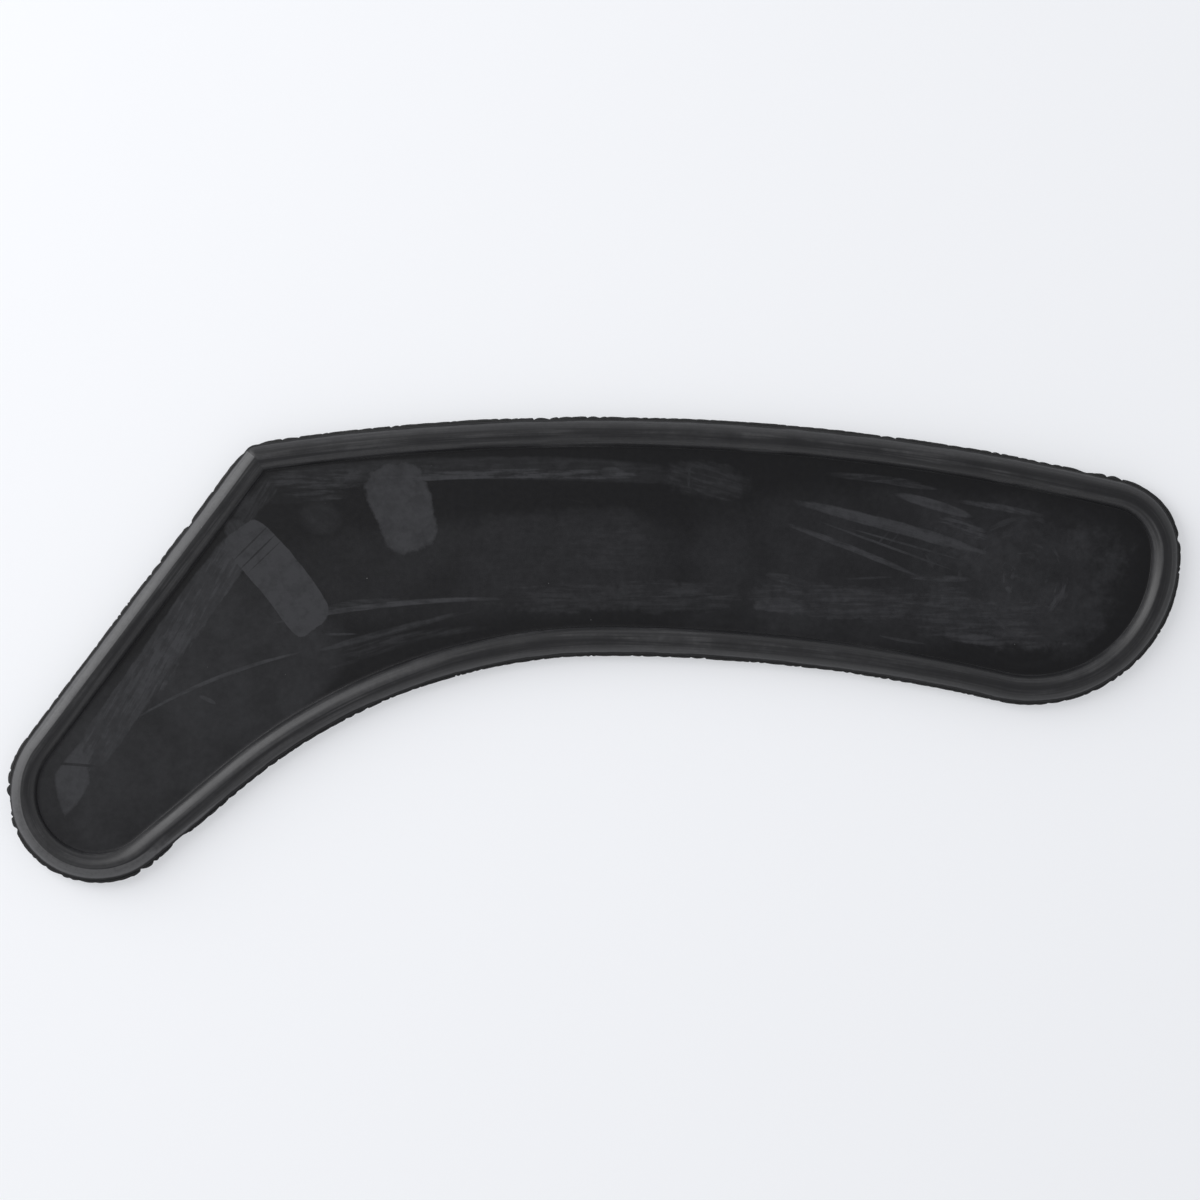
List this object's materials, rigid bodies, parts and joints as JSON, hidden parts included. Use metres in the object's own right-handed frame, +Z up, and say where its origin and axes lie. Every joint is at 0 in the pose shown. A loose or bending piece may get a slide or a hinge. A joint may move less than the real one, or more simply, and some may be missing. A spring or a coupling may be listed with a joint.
{
  "type": "rubber boomerang",
  "caption": "Flat black rubber boomerang with unequal arms, a sharp outer elbow and a round bead around a thin recessed web.",
  "frame": {"origin": "centre of the outline's bounding box, on the plane the part rests on", "axes": "+X along the length towards the wide rounded end of the long arm, +Y towards the elbow and the bulging outer edge, +Z up out of the face"},
  "size_m": [0.2902, 0.1152, 0.0069],
  "materials": {
    "rubber_web": "dull black rubber, dusty and finger-marked",
    "rubber_bead": "satin black rubber",
    "rubber_flash": "raw torn black rubber edge"
  },
  "bodies": {
    "root": {"rim_bead": "rubber_bead", "web_panel": "rubber_web", "parting_flash": "rubber_flash"}
  },
  "joints": []
}
